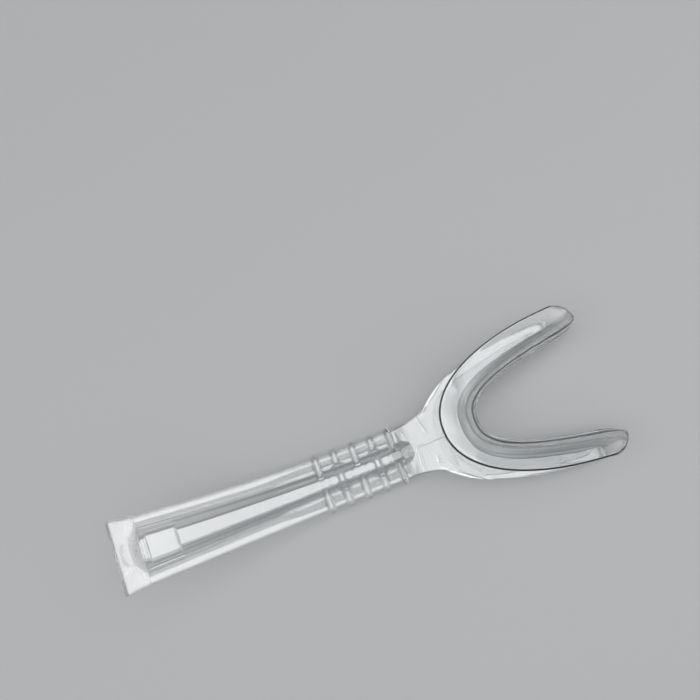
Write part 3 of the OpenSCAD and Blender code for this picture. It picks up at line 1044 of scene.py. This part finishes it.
# The camera sees glass, while shadows and diffuse light pass through as a plain tint
def plasticMaterial(name):
    finish = finishes[name]
    material, nodes, links = newMaterial(name)
    out = nodes.new("ShaderNodeOutputMaterial")
    glass = nodes.new("ShaderNodeBsdfPrincipled")
    glass.inputs["IOR"].default_value = plastic["ior"]
    glass.inputs["Transmission Weight"].default_value = 1.0
    glass.inputs["Coat Weight"].default_value = 1.0
    glass.inputs["Coat Roughness"].default_value = plastic["coatRoughness"]
    glass.inputs["Coat IOR"].default_value = plastic["coatIor"]
    # Painted shade: the plastic's colour darkens towards grazing view, standing in for the dark outlines
    # round its edges
    edge = nodes.new("ShaderNodeLayerWeight")
    edge.inputs["Blend"].default_value = 0.5
    steep = nodes.new("ShaderNodeMath")
    steep.operation = "POWER"
    steep.inputs[1].default_value = plastic["edgePower"]
    links.new(edge.outputs["Facing"], steep.inputs[0])
    tint = colourMix(nodes, links, steep.outputs[0], finish["tint"], plastic["paintedEdgeShade"])
    links.new(tint, glass.inputs["Base Color"])

    place = nodes.new("ShaderNodeTexCoord")
    stretch = nodes.new("ShaderNodeMapping")
    stretch.inputs["Rotation"].default_value = (0, 0, grainTurn)
    stretch.inputs["Scale"].default_value = finish["waveStretch"]
    links.new(place.outputs["Object"], stretch.inputs["Vector"])
    waves = nodes.new("ShaderNodeTexNoise")
    waves.inputs["Scale"].default_value = finish["waveScale"]
    waves.inputs["Detail"].default_value = finish["waveDetail"]
    links.new(stretch.outputs["Vector"], waves.inputs["Vector"])
    bump = nodes.new("ShaderNodeBump")
    bump.inputs["Strength"].default_value = 1.0
    bump.inputs["Distance"].default_value = finish["waveDepth"]
    links.new(waves.outputs["Fac"], bump.inputs["Height"])
    links.new(bump.outputs["Normal"], glass.inputs["Normal"])

    marks = nodes.new("ShaderNodeTexNoise")
    marks.inputs["Scale"].default_value = plastic["marksScale"]
    marks.inputs["Detail"].default_value = 3.0
    links.new(place.outputs["Object"], marks.inputs["Vector"])
    rough = nodes.new("ShaderNodeMapRange")
    rough.inputs["From Min"].default_value = plastic["marksRange"][0]
    rough.inputs["From Max"].default_value = plastic["marksRange"][1]
    rough.inputs["To Min"].default_value = finish["roughness"]
    rough.inputs["To Max"].default_value = finish["roughness"] + plastic["marksRough"] + finish["haze"]
    links.new(marks.outputs["Fac"], rough.inputs["Value"])
    links.new(rough.outputs["Result"], glass.inputs["Roughness"])

    facing = nodes.new("ShaderNodeLayerWeight")
    facing.inputs["Blend"].default_value = plastic["shadowBlend"]
    passed = colourMix(nodes, links, facing.outputs["Facing"], plastic["shadow"], plastic["edgeShadow"])
    shade = nodes.new("ShaderNodeBsdfTransparent")
    links.new(passed, shade.inputs["Color"])
    lightPath = nodes.new("ShaderNodeLightPath")
    plain = nodes.new("ShaderNodeMath")
    plain.operation = "MAXIMUM"
    links.new(lightPath.outputs["Is Shadow Ray"], plain.inputs[0])
    links.new(lightPath.outputs["Is Diffuse Ray"], plain.inputs[1])
    both = nodes.new("ShaderNodeMixShader")
    links.new(plain.outputs[0], both.inputs["Fac"])
    links.new(glass.outputs[0], both.inputs[1])
    links.new(shade.outputs[0], both.inputs[2])
    links.new(both.outputs[0], out.inputs["Surface"])
    return material


def seamMaterial():
    material, nodes, links = newMaterial("seam")
    out = nodes.new("ShaderNodeOutputMaterial")
    shade = nodes.new("ShaderNodeBsdfTransparent")
    links.new(shade.outputs[0], out.inputs["Surface"])
    return material


def floorMaterial():
    material, nodes, links = newMaterial("floor")
    out = nodes.new("ShaderNodeOutputMaterial")
    plain = nodes.new("ShaderNodeBsdfPrincipled")
    plain.inputs["Base Color"].default_value = (*floor["colour"], 1)
    plain.inputs["Roughness"].default_value = floor["roughness"]
    links.new(plain.outputs[0], out.inputs["Surface"])
    return material


print("joining the faces into pieces")
sharedNormals(38)
materials = {name: plasticMaterial(name) for name in finishes}
seam = seamMaterial()


def makePiece(name, piece):
    finish = "frosted_plastic" if name == "tail_flange" else "clear_plastic"
    mesh = bpy.data.meshes.new(name)
    points = [((p[0] - middleX) * mm, p[1] * mm, p[2] * mm) for p in piece["points"]]
    mesh.from_pydata(points, [], piece["faces"])
    mesh.materials.append(materials[finish])
    mesh.materials.append(seam)
    mesh.polygons.foreach_set("material_index", piece["kinds"])
    mesh.polygons.foreach_set("use_smooth", [True] * len(piece["faces"]))
    mesh.normals_split_custom_set([tuple(n) for n in piece["loops"]])
    mesh.update()
    obj = bpy.data.objects.new(name + "_clear", mesh)
    bpy.context.scene.collection.objects.link(obj)
    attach(obj, "root")
    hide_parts(owners.get(name, name))


for pieceName in sorted(pieces):
    makePiece(pieceName, pieces[pieceName])

# The floor in metres, just below the part, and the photo's camera in millimetres
floor = {"half": 3.0, "z": -0.00005, "colour": (0.355, 0.359, 0.365), "roughness": 0.6}
camera = {
    "focalPixels": 751.52,
    "imagePixels": 700,
    "place": (14.772, -19.040, 260.766),
    "right": (0.92907, -0.35522, -0.10317),
    "up": (0.36922, 0.90743, 0.20063),
}
# The room's light by direction. A wide soft light overhead reaches further towards the tips, a
# second one stands low on the near side and a third one low beyond the tips. Each pair of ranges
# is where a light begins and ends: along and across are X and Y over Z
room = {
    "dim": 0.02,
    "lowest": 0.02,
    "overhead": 2.75,
    "overheadAlong": ((-1.3, -0.95), (1.9, 1.1)),
    "overheadAcross": ((-0.46, -0.38), (0.48, 0.4)),
    "widerFrom": (0.15, 0.3),
    "wider": 0.12,
    "near": 1.0,
    "nearAcross": ((-0.6, -0.8), (-2.6, -1.5)),
    "nearFrom": (-1.0, -0.2),
    "beyond": 1.0,
    "beyondHeight": ((0.08, 0.2), (0.5, 0.3)),
    "beyondFrom": (0.4, 0.75),
    "through": 0.25,
    "backdrop": 0.5,
}


def makeFloor():
    mesh = bpy.data.meshes.new("floor")
    half, z = floor["half"], floor["z"]
    corners = [(-half, -half, z), (half, -half, z), (half, half, z), (-half, half, z)]
    mesh.from_pydata(corners, [], [(0, 1, 2, 3)])
    mesh.materials.append(floorMaterial())
    obj = bpy.data.objects.new("floor", mesh)
    bpy.context.scene.collection.objects.link(obj)


def makeCamera():
    view = bpy.data.cameras.new("camera")
    view.lens = camera["focalPixels"] / camera["imagePixels"] * view.sensor_width
    obj = bpy.data.objects.new("camera", view)
    right, up = Vector(camera["right"]), Vector(camera["up"])
    back = right.cross(up).normalized()
    up = back.cross(right).normalized()
    turn = Matrix((right.normalized(), up, back)).transposed()
    obj.matrix_world = Matrix.Translation(Vector(camera["place"]) * mm) @ turn.to_4x4()
    bpy.context.scene.collection.objects.link(obj)
    bpy.context.scene.camera = obj


def makeWorld():
    world = bpy.data.worlds.new("world")
    bpy.context.scene.world = world
    world.use_nodes = True
    nodes, links = world.node_tree.nodes, world.node_tree.links

    def calculate(operation, a, b):
        node = nodes.new("ShaderNodeMath")
        node.operation = operation
        for socket, value in zip(node.inputs, (a, b)):
            if isinstance(value, (int, float)):
                socket.default_value = value
            else:
                links.new(value, socket)
        return node.outputs[0]

    def times(a, b):
        return calculate("MULTIPLY", a, b)

    def plus(a, b):
        return calculate("ADD", a, b)

    def ramp(source, span):
        node = nodes.new("ShaderNodeMapRange")
        node.interpolation_type = "SMOOTHSTEP"
        node.inputs["From Min"].default_value = span[0]
        node.inputs["From Max"].default_value = span[1]
        links.new(source, node.inputs["Value"])
        return node.outputs["Result"]

    def between(source, spans):
        return times(ramp(source, spans[0]), ramp(source, spans[1]))

    direction = nodes.new("ShaderNodeTexCoord")
    parts = nodes.new("ShaderNodeSeparateXYZ")
    links.new(direction.outputs["Generated"], parts.inputs[0])
    x, z = parts.outputs["X"], parts.outputs["Z"]
    height = calculate("MAXIMUM", z, room["lowest"])
    along = calculate("DIVIDE", x, height)
    across = calculate("DIVIDE", parts.outputs["Y"], height)

    nearEdge, farEdge = room["overheadAcross"]
    farther = calculate("SUBTRACT", across, times(ramp(along, room["widerFrom"]), room["wider"]))
    overheadAcross = times(ramp(across, nearEdge), ramp(farther, farEdge))
    overhead = times(between(along, room["overheadAlong"]), overheadAcross)
    near = times(between(across, room["nearAcross"]), ramp(along, room["nearFrom"]))
    beyond = times(between(z, room["beyondHeight"]), ramp(x, room["beyondFrom"]))
    total = plus(times(overhead, room["overhead"]), times(near, room["near"]))
    total = plus(total, times(beyond, room["beyond"]))
    total = plus(total, room["dim"])

    # Seen directly the room is a plain pale backdrop, and through the plastic it is a little paler
    lightPath = nodes.new("ShaderNodeLightPath")
    direct = lightPath.outputs["Is Camera Ray"]
    total = plus(total, times(lightPath.outputs["Is Transmission Ray"], room["through"]))
    total = times(total, calculate("SUBTRACT", 1, direct))
    total = plus(total, times(direct, room["backdrop"]))
    background = nodes["Background"]
    background.inputs["Color"].default_value = (1, 1, 1, 1)
    links.new(total, background.inputs["Strength"])


print("setting the floor, the light and the camera")
makeFloor()
makeWorld()
makeCamera()
bpy.context.scene.view_settings.view_transform = "Standard"
